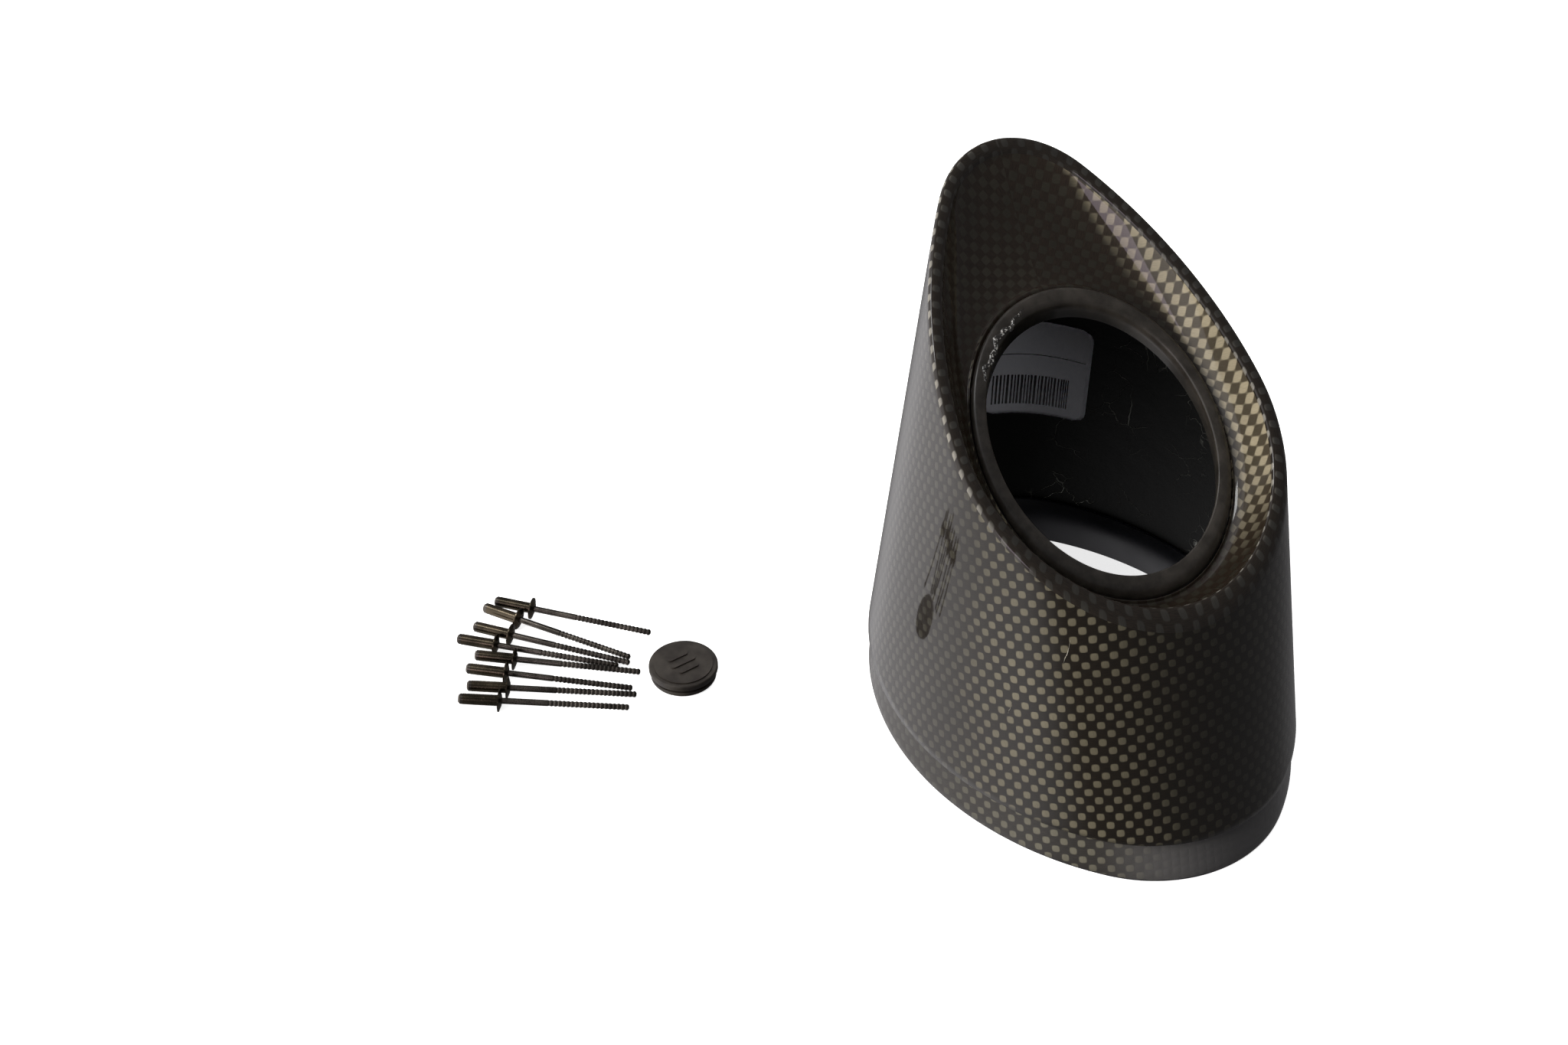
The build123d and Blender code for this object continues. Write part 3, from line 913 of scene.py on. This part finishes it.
def main():
    # Painted highlight: the wall's dots brighten where it faces this direction.
    side_sheen = ((0.70, -0.64, 0.30), (0.82, 0.99), 0.24)
    cloth = carbon("carbon_cloth", (0.13, 0.115, 0.080, 1), (0.0055, 0.0038, 0.0020, 1), 1.0, 0.4,
                   side_sheen)
    # The scoop's copy: brighter dots than the wall's, painted light for the light that falls on the scoop,
    # with its own painted highlight; lift spreads that painted shine onto the tows between the dots.
    scoop_sheen = ((0.22, -0.93, 0.28), (0.62, 0.99), 0.10)
    scoop = carbon("carbon_scoop", (0.33, 0.285, 0.20, 1), (0.013, 0.0085, 0.0055, 1), 1.0, 0.4,
                   scoop_sheen, full=(-0.12, 0.32), lift=0.14)
    # The rim's copy: dots of their own brightness, painted light for how the rim is lit, with a painted
    # highlight where it faces its sheen's direction.
    rim_sheen = ((-0.40, -0.70, 0.60), (0.30, 0.88), 0.16)
    rim = carbon("carbon_rim", (0.22, 0.205, 0.18, 1), (0.010, 0.0075, 0.0055, 1), 1.0, 0.4, rim_sheen)
    # Painted reflection: where the skirt faces this way, a plain lighter grey covers its weave.
    painted_foot_veil = ((0.60, 0.80, 0.0), (-0.25, 0.45), (0.14, 0.135, 0.138, 1))
    skirt = carbon("carbon_skirt", (0.13, 0.12, 0.09, 1), (0.012, 0.010, 0.008, 1), 0.8, 0.4,
                   side_sheen, painted_foot_veil)
    add_piece(cap_skin(), "cap", "carbon", [cloth, scoop, rim], "outer_shell", "outlet_scoop")
    add_piece(spigot_skin(), "cap", "spigot", [skirt, inner_ring()], "spigot_ring")
    add_piece(nick("nick_1", -43, -40, 58, 64.5), "cap", "carbon", [bare_resin()])
    add_piece(nick("nick_2", -58.5, -57.5, 39, 42.5), "cap", "carbon", [bare_resin()])
    add_piece(glue_bead(), "cap", "collar", [resin_with_painted_glints()])
    add_piece(collar_skin(), "cap", "collar", [satin_composite()], "outlet_collar")
    add_piece(label_sheet(), "cap", "label", [paper()], "label")
    add_piece(label_ink(), "cap", "label", [ink()])
    dress_cad()
    studio()
    camera()
    bpy.context.scene.view_settings.view_transform = "Standard"


main()
